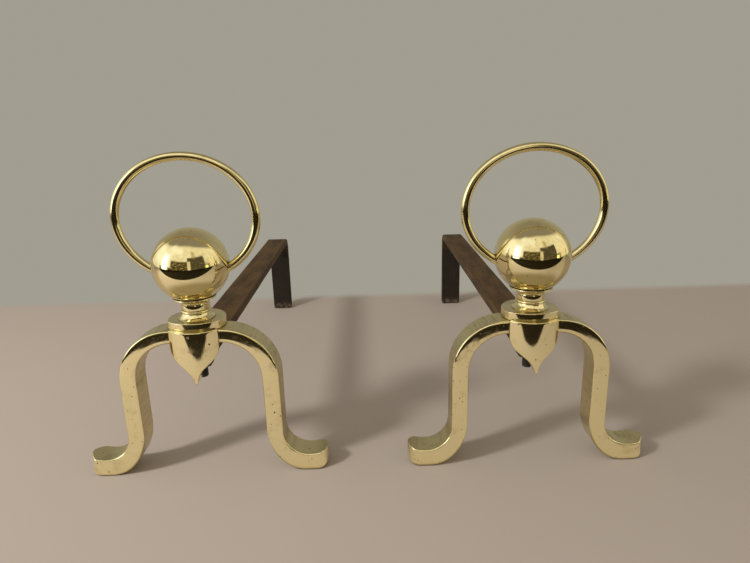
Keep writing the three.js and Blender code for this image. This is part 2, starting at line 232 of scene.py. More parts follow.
def loft(name, rows, side_x, sharp=40):
    """A mesh through rows of (x, y, z) millimetre points of one andiron, set at its place."""
    mesh = bpy.data.meshes.new(name)
    count = len(rows[0])
    points = [((x + side_x) * MM, (y - FRONT_TO_MIDDLE) * MM, z * MM)
              for row in rows for x, y, z in row]
    faces = []
    for r in range(len(rows) - 1):
        for k in range(count):
            after = (k + 1) % count
            low = r * count
            high = low + count
            faces.append((low + k, low + after, high + after, high + k))
    faces.append(tuple(reversed(range(count))))
    faces.append(tuple(range((len(rows) - 1) * count, len(rows) * count)))
    mesh.from_pydata(points, [], faces)
    bm = bmesh.new()
    bm.from_mesh(mesh)
    bmesh.ops.remove_doubles(bm, verts=bm.verts, dist=1e-6)
    bmesh.ops.dissolve_degenerate(bm, dist=1e-7, edges=bm.edges)
    bmesh.ops.recalc_face_normals(bm, faces=bm.faces)
    for face in bm.faces:
        face.smooth = True
    bm.to_mesh(mesh)
    bm.free()
    mesh.set_sharp_from_angle(angle=math.radians(sharp))
    piece = bpy.data.objects.new(name, mesh)
    bpy.context.collection.objects.link(piece)
    weighted = piece.modifiers.new("even_normals", "WEIGHTED_NORMAL")
    weighted.keep_sharp = True
    return piece


def turned(name, profile, side_x, steps=96, sharp=40):
    """A profile of (radius, z) turned about the andiron's axis."""
    rows = []
    for radius, z in profile:
        ring = []
        for k in range(steps):
            angle = 2 * math.pi * k / steps
            ring.append((radius * math.cos(angle), AXIS_Y + radius * math.sin(angle), z))
        rows.append(ring)
    return loft(name, rows, side_x, sharp=sharp)


def fit(piece, side, node, material):
    """Sets a piece in the place of its node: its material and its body."""
    piece.data.materials.append(material)
    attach(piece, side + "_andiron")
    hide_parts(side + "_" + node)


# Legs: matched points along the outer and the inner outline give one section each

def leg_sections():
    """Right half of the legs as ((outer x, z), (inner x, z)) pairs, from the middle to the toe."""
    foot_x = ARCH_FLAT + SHOULDER_R + ANKLE_R
    crotch_r = SHIN_IN - CROTCH_X
    fillet = CROTCH_X - SEAT_HALF
    toe_turn = math.degrees(math.asin((TOE_END - foot_x) / TOE_SWEEP_R))
    outer = [(0.0, ARCH_TOP)]
    inner = [(0.0, SEAT_Z)]
    outer += line((0, ARCH_TOP), (SEAT_HALF - 1, ARCH_TOP), 3)
    inner += line((0, SEAT_Z), (SEAT_HALF, SEAT_Z), 3)
    outer += line((SEAT_HALF - 1, ARCH_TOP), (ARCH_FLAT, ARCH_TOP), 7)
    inner += [(SEAT_HALF, mix(SEAT_Z, ARCH_UNDER - fillet, 0.5))]
    inner += arc(CROTCH_X, ARCH_UNDER - fillet, fillet, fillet, 180, 90, 5)
    outer += arc(ARCH_FLAT, ARCH_TOP - SHOULDER_R, SHOULDER_R, SHOULDER_R, 90, 0, SHOULDER_STEPS)[1:]
    inner += arc(CROTCH_X, ARCH_UNDER - crotch_r, crotch_r, crotch_r, 90, 0, SHOULDER_STEPS)[1:]
    outer += line((foot_x - ANKLE_R, ARCH_TOP - SHOULDER_R), (foot_x - ANKLE_R, FOOT_TOP + ANKLE_R),
                  SHIN_STEPS)
    inner += line((SHIN_IN, ARCH_UNDER - crotch_r), (SHIN_IN, HEEL_RISE - 4), SHIN_STEPS)
    outer += arc(foot_x, FOOT_TOP + ANKLE_R, ANKLE_R, ANKLE_R, 180, 270, ANKLE_STEPS)[1:]
    heel = arc(HEEL_X, HEEL_RISE, HEEL_X - SHIN_IN, HEEL_RISE, 185, 262, ANKLE_STEPS)
    inner += heel[1:]
    outer += arc(foot_x, FOOT_TOP + TOE_SWEEP_R, TOE_SWEEP_R, TOE_SWEEP_R, 270, 270 + toe_turn,
                 TOE_STEPS)[1:]
    under = [heel[-1]] + arc(HEEL_X, HEEL_RISE, HEEL_X - SHIN_IN, HEEL_RISE, 266, 270, 2)
    under += line((HEEL_X, 0), (TOE_NOSE_X, 0), 4)
    under += arc(TOE_NOSE_X, TOE_NOSE_RISE, TOE_END - TOE_NOSE_X, TOE_NOSE_RISE, 270, 360, 9)[1:]
    inner += under[1:TOE_STEPS + 1]
    return list(zip(outer, inner))


def section(outer, inner):
    """Rounded rectangle across the leg, from an outer to an inner point, its front rolled off."""
    reach = max(abs(outer[0]), abs(inner[0])) - (TOE_END - TOE_PLAN_R)
    back = 0.0
    if reach > 0:
        back = TOE_PLAN_R - math.sqrt(max(TOE_PLAN_R ** 2 - reach ** 2, 0.0))
    width = math.dist(outer, inner)
    depth = LEG_DEPTH - 2 * back
    edge = min(LEG_EDGE, width * 0.3, depth * 0.3)
    crown = min(LEG_CROWN, depth * 0.04)
    path = arc(edge, edge, edge, edge, 180, 270, LEG_EDGE_STEPS)
    path += line((edge, 0), (width - edge, 0), LEG_CROWN_STEPS)
    path += arc(width - edge, edge, edge, edge, 270, 360, LEG_EDGE_STEPS)[1:]
    front = len(path)
    path += arc(width - edge, depth - edge, edge, edge, 0, 90, LEG_EDGE_STEPS)
    path += arc(edge, depth - edge, edge, edge, 90, 180, LEG_EDGE_STEPS)
    points = []
    for place, (along, deep) in enumerate(path):
        t = along / width
        z = mix(outer[1], inner[1], t)
        if place < front:
            rise = max(z - ARCH_LEAN_FROM, 0.0) / (ARCH_TOP - ARCH_LEAN_FROM)
            deep += crown * (2 * t - 1) ** 4 + ARCH_LEAN * rise ** 2
        points.append((mix(outer[0], inner[0], t), back + deep, z))
    return points


def leg_casting(side, side_x, material):
    half = leg_sections()
    rows = [section(o, i) for o, i in half]
    mirrored = [[(-x, y, z) for x, y, z in row] for row in rows[:0:-1]]
    piece = loft(side + "_legs", mirrored + rows, side_x, sharp=50)
    fit(piece, side, "leg_casting", material)


# Plinth with its drop

def slab_plan(inset):
    """Plan of the slab, set in all round: a disc about the axis with a bowed front."""
    bow_y = PLINTH_APEX + PLINTH_BOW_R
    bow = PLINTH_BOW_R - inset
    disc = PLINTH_R - inset
    corner_y = (disc ** 2 - bow ** 2 - AXIS_Y ** 2 + bow_y ** 2) / (2 * (bow_y - AXIS_Y))
    corner_x = math.sqrt(disc ** 2 - (corner_y - AXIS_Y) ** 2)
    bow_turn = math.degrees(math.asin(corner_x / bow))
    disc_turn = math.degrees(math.atan2(corner_y - AXIS_Y, corner_x))
    front = arc(0, bow_y, bow, bow, -90 - bow_turn, -90 + bow_turn, 40)
    round_back = arc(0, AXIS_Y, disc, disc, disc_turn, 180 - disc_turn, 72)
    return front + round_back[1:-1]


def plinth_slab(side, side_x, material):
    rows = []
    for inset, z in arc(PLINTH_EDGE, ARCH_TOP + PLINTH_EDGE, -PLINTH_EDGE, PLINTH_EDGE, -90, 0, 4):
        rows.append([(x, y, z) for x, y in slab_plan(inset)])
    for inset, z in arc(PLINTH_EDGE, PLINTH_TOP - PLINTH_EDGE, -PLINTH_EDGE, PLINTH_EDGE, 0, 90, 4):
        rows.append([(x, y, z) for x, y in slab_plan(inset)])
    piece = loft(side + "_plinth", rows, side_x, sharp=30)
    fit(piece, side, "plinth_with_drop", material)


def drop_half_width(z):
    """Half of the drop's width at a height, from its ogee outline."""
    if z >= DROP_SHOULDER:
        return DROP_HALF
    shoulder = (DROP_HALF, DROP_SHOULDER)
    tip = (DROP_TIP_HALF, DROP_TIP)
    path = bezier(shoulder, (DROP_HALF, DROP_SHOULDER_PULL), DROP_WAIST_PULL, DROP_WAIST, 40)
    path += bezier(DROP_WAIST, towards(DROP_WAIST, DROP_TIP_PULL), towards(tip, DROP_TIP_PULL),
                   tip, 20)[1:]
    for (x0, z0), (x1, z1) in zip(path, path[1:]):
        if z0 >= z >= z1:
            return mix(x0, x1, (z0 - z) / (z0 - z1))
    return path[-1][0]


def towards(end, control):
    """Cubic handle that repeats a quadratic curve's single control point."""
    return tuple(mix(e, c, 2 / 3) for e, c in zip(end, control))


def drop_row(z, inset, back):
    """The drop's outline at a height, set in all round: a bowed front on sides that run to back."""
    half = drop_half_width(z) - inset
    bow = DROP_BOW_R - inset
    bow_y = DROP_APEX + DROP_BOW_R + DROP_LEAN_BACK * (z - DROP_TIP) / (LEDGE_TOP - DROP_TIP)
    edge = min(DROP_SIDE_EDGE, half * 0.45)
    turn = math.degrees(math.asin((half - edge * 0.8) / bow))
    front = arc(0, bow_y, bow, bow, -90 - turn, -90 + turn, 44)
    end_x, end_y = front[-1]
    corner = bezier((end_x, end_y), (mix(end_x, half, 0.6), end_y + 0.35 * edge),
                    (half, end_y + 0.5 * edge), (half, min(end_y + 1.4 * edge, back - 0.05)), 6)[1:]
    right = corner + [(half, back)]
    left = [(-x, y) for x, y in reversed(right)]
    fall = max(DROP_SHOULDER - z, 0.0) / (DROP_SHOULDER - DROP_TIP)
    lean = DROP_TIP_LEAN * fall ** 2
    return [(x + lean, y, z) for x, y in left + front + right]


def drop(side, side_x, material):
    edge = DROP_TOP_EDGE
    rows = [drop_row(DROP_TIP, 0.3, DROP_BACK)]
    for k in range(1, DROP_ROWS):
        z = mix(DROP_TIP, LEDGE_TOP - edge - DROP_ROW_GAP, k / (DROP_ROWS - 1))
        rows.append(drop_row(z, 0.0, DROP_BACK))
    for inset, z in arc(edge, LEDGE_TOP - edge, -edge, edge, 0, 90, 6):
        rows.append(drop_row(z, inset, DROP_BACK))
    piece = loft(side + "_drop", rows, side_x, sharp=40)
    fit(piece, side, "plinth_with_drop", material)


# Turned pieces on the axis

def base_ring(side, side_x, material):
    bead_half = (NECK_BOTTOM - BEAD_BOTTOM) / 2
    rim = PLINTH_TOP + BASE_RIM
    top = (BASE_WAIST_R, BEAD_BOTTOM)
    pull = (BASE_WAIST_R + BASE_RIM, (rim + BEAD_BOTTOM) / 2)
    profile = [(BORE_R, PLINTH_TOP)]
    profile += arc(BASE_R - 0.3, PLINTH_TOP + 0.3, 0.3, 0.3, -90, 0, 3)
    profile += bezier((BASE_R, rim), towards((BASE_R, rim), pull), towards(top, pull), top, 20)
    profile += arc(BEAD_R - bead_half, BEAD_BOTTOM + bead_half, bead_half, bead_half, -88, 88, 14)
    profile += [(NECK_R - 1.3, NECK_BOTTOM - 0.1), (BORE_R, NECK_BOTTOM - 0.1)]
    piece = turned(side + "_base_ring", profile, side_x, sharp=35)
    fit(piece, side, "base_ring", material)


def neck(side, side_x, material):
    dish = BALL_R + TOUCH_GAP
    lip_r = COLLAR_R - COLLAR_LIP
    lip_z = BALL_Z - math.sqrt(dish ** 2 - lip_r ** 2)
    seat_z = BALL_Z - math.sqrt(BALL_R ** 2 - BALL_FLAT_R ** 2)
    foot = NECK_R - NECK_SWELL
    middle = (NECK_BOTTOM + NECK_FLARE_BOTTOM) / 2
    collar_bottom = lip_z - COLLAR_EDGE
    rise = collar_bottom - NECK_FLARE_BOTTOM
    profile = [(BORE_R, NECK_BOTTOM), (foot - 0.3, NECK_BOTTOM), (foot, NECK_BOTTOM + 0.3)]
    profile += bezier((foot + 0.05, NECK_BOTTOM + 0.5), (NECK_R + 0.3, middle - 1),
                      (NECK_R + 0.3, middle + 1), (foot, NECK_FLARE_BOTTOM), 14)
    profile += bezier((foot, NECK_FLARE_BOTTOM), (foot, NECK_FLARE_BOTTOM + rise / 2),
                      ((NECK_R + COLLAR_R) / 2, collar_bottom - rise / 3), (COLLAR_R, collar_bottom),
                      20)[1:]
    profile += arc(COLLAR_R - 0.6, lip_z - 0.6, 0.6, 0.7, -30, 110, 8)
    for k in range(1, 9):
        radius = mix(lip_r - 0.6, BALL_FLAT_R + 0.6, k / 8)
        profile.append((radius, BALL_Z - math.sqrt(dish ** 2 - radius ** 2)))
    profile.append((BORE_R, seat_z))
    piece = turned(side + "_neck", profile, side_x, sharp=40)
    fit(piece, side, "neck", material)


def ball(side, side_x, material):
    flat = -90 + math.degrees(math.asin(BALL_FLAT_R / BALL_R))
    profile = arc(0, BALL_Z, BALL_R, BALL_R, flat, 89.5, 72)
    piece = turned(side + "_ball", profile, side_x, steps=128, sharp=35)
    fit(piece, side, "ball", material)


def ring(side, side_x, material):
    rows = []
    for k in range(RING_STEPS + 1):
        angle = mix(-RING_END_ANGLE, math.pi + RING_END_ANGLE, k / RING_STEPS)
        centre = Vector((RING_HALF_WIDTH * math.cos(angle), RING_Z + RING_HALF_HEIGHT * math.sin(angle)))
        along = Vector((-RING_HALF_WIDTH * math.sin(angle), RING_HALF_HEIGHT * math.cos(angle)))
        along.normalize()
        out = Vector((along.y, -along.x))
        wave = noise.noise(Vector((centre.x * 0.05, centre.y * 0.05, side_x)))
        radius = RING_ROD_R - RING_UNEVEN + RING_UNEVEN * wave
        row = []
        for j in range(RING_SIDES):
            turn = 2 * math.pi * j / RING_SIDES
            x, z = centre + out * radius * math.cos(turn)
            row.append((x, AXIS_Y + radius * math.sin(turn), z))
        rows.append(row)
    piece = loft(side + "_ring", rows, side_x)
    fit(piece, side, "ring", material)


# Iron pieces

def tie_rod(side, side_x, material):
    rows = []
    heights = [ROD_BOTTOM + THREAD_ROW_STEP * k for k in range(THREAD_ROWS)] + [ROD_TOP]
    for z in heights:
        row = []
        for j in range(ROD_SIDES):
            part = j / ROD_SIDES
            tooth = abs((((z - ROD_BOTTOM) / THREAD_PITCH - part) % 1.0) * 2 - 1)
            radius = ROD_R - THREAD_DEPTH * tooth
            end = z - ROD_BOTTOM
            if end < ROD_CHAMFER:
                radius = min(radius, ROD_R - ROD_CHAMFER_DEPTH + end)
            if z == ROD_TOP:
                radius = ROD_R - THREAD_DEPTH
            angle = 2 * math.pi * part
            row.append((radius * math.cos(angle), AXIS_Y + radius * math.sin(angle), z))
        rows.append(row)
    piece = loft(side + "_tie_rod", rows, side_x, sharp=60)
    fit(piece, side, "tie_rod", material)


def washer(side, side_x, material):
    top = BAR_TOP - BAR_THICK - TOUCH_GAP
    bottom = top - WASHER_THICK
    edge = 0.4
    profile = [(BORE_R, bottom)]
    profile += arc(WASHER_R - edge, bottom + edge, edge, edge, -90, 0, 3)
    profile += arc(WASHER_R - edge, top - edge, edge, edge, 0, 90, 3)
    profile += [(BORE_R, top)]
    piece = turned(side + "_washer", profile, side_x, steps=64)
    fit(piece, side, "washer", material)


def square_nut(side, side_x, material):
    top = BAR_TOP - BAR_THICK - WASHER_THICK - 2 * TOUCH_GAP
    bottom = top - NUT_THICK
    half = NUT_ACROSS / 2
    rows = []
    corner = half * math.sqrt(2) - 0.5
    levels = [(bottom, NUT_CORNER_R - 1), (bottom + 0.15, NUT_CORNER_R - 0.6)]
    levels += [(bottom + NUT_CORNER_FALL * k / 6, mix(NUT_CORNER_R - 0.6, corner, k / 6))
               for k in range(1, 7)]
    levels += [(top - 0.2, corner), (top, corner - 0.3)]
    for z, limit in levels:
        row = []
        for j in range(NUT_SIDES):
            angle = 2 * math.pi * j / NUT_SIDES
            flat = half / max(abs(math.cos(angle)), abs(math.sin(angle)))
            radius = min(flat, limit)
            row.append((radius * math.cos(angle), AXIS_Y + radius * math.sin(angle), z))
        rows.append(row)
    piece = loft(side + "_square_nut", rows, side_x, sharp=30)
    fit(piece, side, "square_nut", material)


def bar_path():
    """Middle line of the bar as (y, z, direction in degrees), from the front end to the rear foot."""
    middle = BAR_TOP - BAR_THICK / 2
    bend_y = BAR_BACK - BAR_THICK - BAR_BEND_R
    bend_z = BAR_TOP - BAR_THICK - BAR_BEND_R
    radius = BAR_BEND_R + BAR_THICK / 2
    path = [(BAR_FRONT, middle, 0.0), (BAR_FRONT + 0.5, middle, 0.0),
            (BAR_SHOULDER - 0.2, middle, 0.0)]
    path += [(mix(BAR_SHOULDER, bend_y, k / BAR_STEPS), middle, 0.0) for k in range(BAR_STEPS + 1)]
    for k in range(1, BEND_STEPS + 1):
        turn = 90 * k / BEND_STEPS
        angle = math.radians(90 - turn)
        path.append((bend_y + radius * math.cos(angle), bend_z + radius * math.sin(angle), turn))
    path += [(bend_y + radius, mix(bend_z, REAR_FOOT_R, k / 20), 90.0) for k in range(1, 21)]
    path += [(bend_y + radius, mix(REAR_FOOT_R, 0, k / 8), 90.0) for k in range(1, 9)]
    return path


def billet_bar(side, side_x, material):
    rows = []
    for place, (y, z, turn) in enumerate(bar_path()):
        half = BAR_HALF_WIDTH
        if turn == 90.0 and z < REAR_FOOT_R:
            half -= REAR_FOOT_R - math.sqrt(REAR_FOOT_R ** 2 - (REAR_FOOT_R - z) ** 2)
        top = BAR_THICK / 2
        if y < BAR_SHOULDER:
            top -= BAR_SET_DOWN
        end = 0.7 if place == 0 or z == 0 else 0.0
        along = math.radians(turn)
        across = (math.sin(along), math.cos(along))
        row = []
        under = BAR_EDGE - BAR_THICK / 2
        corners = ((half - BAR_EDGE, top - BAR_EDGE, 0), (BAR_EDGE - half, top - BAR_EDGE, 90),
                   (BAR_EDGE - half, under, 180), (half - BAR_EDGE, under, 270))
        for cx, cs, start in corners:
            for px, ps in arc(cx, cs, BAR_EDGE - end, BAR_EDGE - end, start, start + 90, 4):
                spot = Vector((px * 0.06 + side_x, y * 0.03, z * 0.03 + ps * 0.1))
                wave = BAR_UNEVEN * (noise.noise(spot) - 0.6)
                size = 1 + wave / half
                shift = ps + wave * (1 if ps > 0 else -1)
                row.append((px * size, y + across[0] * shift, max(z + across[1] * shift, 0.0)))
        rows.append(row)
    piece = loft(side + "_billet_bar", rows, side_x, sharp=50)
    fit(piece, side, "billet_bar", material)


# Materials: node trees in object coordinates, which are metres in the shared frame

class Graph:
    """Adds nodes to a tree, each with its inputs given as values or as another node's output."""

    def __init__(self, tree):
        self.tree = tree
        tree.nodes.clear()

    def put(self, socket, value):
        if isinstance(value, bpy.types.NodeSocket):
            self.tree.links.new(value, socket)
        else:
            socket.default_value = value

    def node(self, kind, inputs=(), **settings):
        node = self.tree.nodes.new(kind)
        for key, value in settings.items():
            setattr(node, key, value)
        for key, value in dict(inputs).items():
            self.put(node.inputs[key], value)
        return node

    def math(self, operation, a, b=0.0):
        return self.node("ShaderNodeMath", {0: a, 1: b}, operation=operation).outputs[0]

    def smooth(self, value, low, high, out_low=0.0, out_high=1.0):
        """A smooth step from out_low to out_high, as value goes from low to high."""
        inputs = {"Value": value, "From Min": low, "From Max": high, "To Min": out_low,
                  "To Max": out_high}
        node = self.node("ShaderNodeMapRange", inputs, interpolation_type="SMOOTHSTEP")
        return node.outputs["Result"]

    def blend(self, factor, a, b):
        """Colour a where the factor is 0, and b where it is 1. Colours are sockets or (r, g, b)."""
        node = self.node("ShaderNodeMix", data_type="RGBA")
        for place, value in ((0, factor), (6, a), (7, b)):
            self.put(node.inputs[place], (*value, 1.0) if isinstance(value, tuple) else value)
        return node.outputs[2]

    def noise(self, vector, scale, detail=2.0, roughness=0.5, distortion=0.0):
        inputs = {"Vector": vector, "Scale": scale, "Detail": detail, "Roughness": roughness,
                  "Distortion": distortion}
        return self.node("ShaderNodeTexNoise", inputs).outputs["Fac"]

    def stretched(self, vector, turn, scale):
        """Coordinates turned and then scaled, for marks that run one way."""
        inputs = {"Vector": vector, "Rotation": tuple(math.radians(a) for a in turn), "Scale": scale}
        return self.node("ShaderNodeMapping", inputs).outputs["Vector"]

    def cells(self, vector, scale):
        """Distance from the middle of a random cell, and that cell's own number."""
        node = self.node("ShaderNodeTexVoronoi", {"Vector": vector, "Scale": scale})
        number = self.node("ShaderNodeSeparateColor", {0: node.outputs["Color"]}).outputs[0]
        return node.outputs["Distance"], number

    def spots(self, vector, scale, radius, share):
        """1 inside small round spots that only a share of the cells has, 0 outside."""
        distance, number = self.cells(vector, scale)
        size = self.smooth(number, 1.0 - share, 1.0, 0.0, radius)
        spot = self.smooth(distance, self.math("MULTIPLY", size, 0.5), size, 1.0, 0.0)
        return self.math("MULTIPLY", spot, self.math("GREATER_THAN", number, 1.0 - share))

    def bumped(self, layers):
        """Normal bent by (height, depth in metres) layers."""
        normal = None
        for height, depth in layers:
            inputs = {"Height": height, "Distance": depth, "Strength": 1.0}
            if normal is not None:
                inputs["Normal"] = normal
            normal = self.node("ShaderNodeBump", inputs).outputs["Normal"]
        return normal

    def shade(self, **inputs):
        sockets = {key.replace("_", " "): value for key, value in inputs.items()}
        node = self.node("ShaderNodeBsdfPrincipled", sockets)
        self.node("ShaderNodeOutputMaterial", {"Surface": node.outputs[0]})


def new_material(name):
    mat = bpy.data.materials.new(name)
    mat.use_nodes = True
    return mat, Graph(mat.node_tree)


BRASS_PALE = (0.93, 0.80, 0.44)
BRASS_WARM = (0.88, 0.745, 0.39)
BRASS_DEEP = (0.80, 0.66, 0.33)
BRASS_SATIN = (0.60, 0.52, 0.29)
BRASS_TARNISH = (0.46, 0.36, 0.17)
BRASS_SAWN = (0.24, 0.19, 0.09)
# The next tone is painted shade, laid into crevices and joints
BRASS_CREVICE_SHADE = (0.13, 0.09, 0.035)
BRASS_PIT = (0.08, 0.055, 0.02)


def brass(name, gloss=0.04, satin=0.3, faces="all", wobble=1.0, pits=0.5, dull=0.0, lathe=0.0,
          marks=1.0):
    """Polished brass. Faces says which are polished: all, front (towards -Y) or round (not the top)."""
    mat, g = new_material(name)
    place = g.node("ShaderNodeTexCoord")
    spot = place.outputs["Object"]
    broad = g.noise(spot, 16, 3)
    fine = g.noise(spot, 170, 5, 0.6)
    blotch = g.noise(spot, 55, 6, 0.68, 0.4)
    striae = g.noise(g.stretched(spot, (32, 24, 18), (60, 1500, 60)), 1, 3, 0.55)
    hair = g.noise(g.stretched(spot, (-18, 61, 40), (2600, 90, 90)), 1, 2, 0.5)
    hairline = g.smooth(hair, 0.63, 0.7)
    pit = g.spots(spot, 115, 0.13, 0.3 * pits)
    speck = g.spots(spot, 330, 0.27, 0.2 * pits)
    saw = g.smooth(g.noise(g.stretched(spot, (3, 5, 0), (25, 30, 620)), 1, 3, 0.6), 0.5, 0.64)
    # Painted shade: the colour darkens where other surfaces are within 3.5 mm, in crevices and where
    # pieces meet. The same mask also roughens the surface.
    corner = g.node("ShaderNodeAmbientOcclusion", {"Distance": 0.0035}, samples=6).outputs["AO"]
    crevice_shade = g.smooth(corner, 0.35, 0.85, 1.0, 0.0)

    normal = g.node("ShaderNodeSeparateXYZ", {0: place.outputs["Normal"]})
    if faces == "front":
        polish = g.smooth(g.math("MULTIPLY", normal.outputs[1], -1.0), 0.35, 0.75)
    elif faces == "round":
        polish = g.smooth(normal.outputs[2], 0.8, 0.95, 1.0, 0.0)
    else:
        polish = g.smooth(broad, 0.0, 0.1, 0.9, 1.0)

    tarnish = g.math("MULTIPLY", g.smooth(blotch, 0.5, 0.72), 0.35 + dull)
    unpolished = g.math("MULTIPLY", g.math("SUBTRACT", 1.0, polish), 0.7)
    colour = g.blend(broad, BRASS_PALE, BRASS_WARM)
    colour = g.blend(g.math("MULTIPLY", fine, 0.3), colour, BRASS_DEEP)
    colour = g.blend(unpolished, colour, BRASS_SATIN)
    colour = g.blend(tarnish, colour, BRASS_TARNISH)
    sawn = g.math("MULTIPLY", g.math("MULTIPLY", saw, unpolished),
                  g.smooth(broad, 0.35, 0.6, 0.15, 1.0))
    colour = g.blend(g.math("MULTIPLY", sawn, 0.55), colour, BRASS_SAWN)
    # Painted crevice shade laid into the colour
    colour = g.blend(g.math("MULTIPLY", crevice_shade, 0.75), colour, BRASS_CREVICE_SHADE)
    colour = g.blend(g.math("MULTIPLY", g.math("MAXIMUM", pit, speck), 0.9), colour, BRASS_PIT)

    rough = g.math("ADD", gloss, g.math("MULTIPLY", fine, 0.03))
    rough = g.math("ADD", rough, g.math("MULTIPLY", hairline, 0.05 * marks))
    rough = g.math("ADD", rough, g.math("MULTIPLY", tarnish, 0.3))
    rough = g.math("ADD", rough, g.math("MULTIPLY", unpolished, satin))
    rough = g.math("ADD", rough, g.math("MULTIPLY", g.math("MAXIMUM", pit, crevice_shade), 0.4))

    file_marks = g.math("MULTIPLY", striae, g.math("ADD", 0.06, unpolished))
    layers = [
        (g.noise(spot, 34, 1), 0.00014 * wobble),
        (g.noise(spot, 120, 1.5), 0.00003 * wobble),
        (fine, 0.000002 * marks),
        (file_marks, 0.000012 * marks),
        (sawn, -0.00004),
        (hairline, -0.000002 * marks),
        (g.math("ADD", pit, g.math("MULTIPLY", speck, 0.3)), -0.00025),
    ]
    if lathe:
        height = g.node("ShaderNodeSeparateXYZ", {0: spot}).outputs[2]
        cuts = g.node("ShaderNodeTexNoise", {"W": height, "Scale": 2400.0, "Detail": 2.0},
                      noise_dimensions="1D")
        layers.append((cuts.outputs["Fac"], 0.000006 * lathe))
    g.shade(Base_Color=colour, Metallic=1.0, Roughness=rough, Normal=g.bumped(layers))
    return mat


# Dark, middle, light and bare tones
RUST_TONES = ((0.042, 0.023, 0.009), (0.090, 0.048, 0.016), (0.165, 0.082, 0.026),
              (0.26, 0.19, 0.12))
SOOT_TONES = ((0.010, 0.009, 0.008), (0.022, 0.018, 0.015), (0.060, 0.038, 0.022),
              (0.20, 0.18, 0.16))
IRON_PIT = (0.008, 0.006, 0.005)
# Near-black tone that the rear leg turns to below the bar
LEG_DARKENED = (0.014, 0.012, 0.011)


def iron(name, tones, rough_low, rough_high, scale=1.0, rust=0.5, leg_top=None):
    """Wrought iron: dark scale under a thin uneven rust, worn paler edges, much darker below leg_top."""
    mat, g = new_material(name)
    spot = g.node("ShaderNodeTexCoord").outputs["Object"]
    broad = g.noise(g.stretched(spot, (0, 0, 0), (1, 0.25, 1)), 60 * scale, 4, 0.6)
    mottle = g.noise(spot, 230 * scale, 6, 0.7, 0.3)
    grain = g.noise(spot, 1100, 4, 0.6)
    pit = g.spots(spot, 240 * scale, 0.3, 0.35)
    drawn = g.noise(g.stretched(spot, (0, 0, 0), (900, 35, 900)), 1, 3, 0.5)
    edge = g.node("ShaderNodeAmbientOcclusion", {"Distance": 0.002}, samples=6,
                  inside=True).outputs["AO"]
    worn = g.math("MULTIPLY", g.smooth(edge, 0.45, 0.9, 1.0, 0.0), g.smooth(mottle, 0.35, 0.65))
    dark, middle, light, bare = tones
    colour = g.blend(g.smooth(broad, 0.35, 0.65), dark, middle)
    colour = g.blend(g.math("MULTIPLY", g.smooth(mottle, 0.48, 0.68), rust), colour, light)
    colour = g.blend(g.math("MULTIPLY", g.smooth(grain, 0.45, 0.7), 0.35), colour, dark)
    colour = g.blend(g.math("MULTIPLY", pit, 0.7), colour, IRON_PIT)
    colour = g.blend(g.math("MULTIPLY", worn, 0.55), colour, bare)
    if leg_top:
        # The colour turns much darker below leg_top, on the rear leg under the bar
        height = g.node("ShaderNodeSeparateXYZ", {0: spot}).outputs[2]
        darker_below = g.math("MULTIPLY", g.smooth(height, leg_top - 0.02, leg_top, 1.0, 0.0), 0.85)
        colour = g.blend(darker_below, colour, LEG_DARKENED)
        foot = g.math("MULTIPLY", g.smooth(height, 0.002, 0.014, 1.0, 0.0),
                      g.smooth(mottle, 0.45, 0.6))
        colour = g.blend(g.math("MULTIPLY", foot, 0.6), colour, bare)
    rough = g.smooth(mottle, 0.3, 0.7, rough_low, rough_high)
    rough = g.math("SUBTRACT", rough, g.math("MULTIPLY", worn, 0.2))
    layers = [(broad, 0.0003), (mottle, 0.00022), (grain, 0.00004), (drawn, 0.00002),
              (pit, -0.0003)]
    g.shade(Base_Color=colour, Metallic=0.0, Roughness=rough, Specular_IOR_Level=0.3,
            Normal=g.bumped(layers))
    return mat


leg_brass = brass("leg_brass", gloss=0.05, satin=0.36, faces="front", pits=1.5, dull=0.05)
plinth_brass = brass("plinth_brass", gloss=0.04, satin=0.3, faces="round", wobble=0.4, pits=0.4)
drop_brass = brass("drop_brass", gloss=0.035, wobble=0.5, pits=0.7)
turned_brass = brass("turned_brass", gloss=0.04, wobble=0.3, pits=0.2, lathe=0.6, marks=0.4)
ball_brass = brass("ball_brass", gloss=0.03, wobble=0.35, pits=0.3, marks=0.4)
rod_brass = brass("rod_brass", gloss=0.10, wobble=0.3, pits=0.03, dull=0.1, marks=0.1)
rusty_iron = iron("rusty_iron", RUST_TONES, 0.6, 0.92, leg_top=(BAR_TOP - BAR_THICK - 3) * MM)
black_iron = iron("sooty_iron", SOOT_TONES, 0.42, 0.75, scale=1.6, rust=0.35)

for side, side_x in SIDES:
    leg_casting(side, side_x, leg_brass)
    plinth_slab(side, side_x, plinth_brass)
    drop(side, side_x, drop_brass)
    base_ring(side, side_x, turned_brass)
    neck(side, side_x, turned_brass)
    ball(side, side_x, ball_brass)
    ring(side, side_x, rod_brass)
    tie_rod(side, side_x, black_iron)
    washer(side, side_x, black_iron)
    square_nut(side, side_x, black_iron)
    billet_bar(side, side_x, rusty_iron)


# Floor: pale, turning to the background's grey behind the pair. Glossy rays see painted light and shade
# on it in front of the pair: paler where they graze it, darker where they look down on it, and nearly
# black beyond the front edge as a painted dark room.

FLOOR = (0.46, 0.385, 0.333)
# Painted light and painted shade for glossy rays only: the cloth in front of the pair paler at grazing
# angles, darker seen from above
FLOOR_GRAZED_LIT = (0.62, 0.56, 0.55)
FLOOR_SHADED_FROM_ABOVE = (0.33, 0.28, 0.20)
BACKGROUND = (0.36, 0.345, 0.285)
BACKGROUND_FROM = 0.30
BACKGROUND_WHOLE = 0.345
FRONT_EDGE = -0.59
FRONT_FLOOR_FROM = -0.22
FLOOR_DIMMED = 0.86
# Painted darkness of the room beyond the front edge, seen only by glossy rays
FLOOR_DARK_ROOM = (0.022, 0.018, 0.012)
FLOOR_REACH = 4


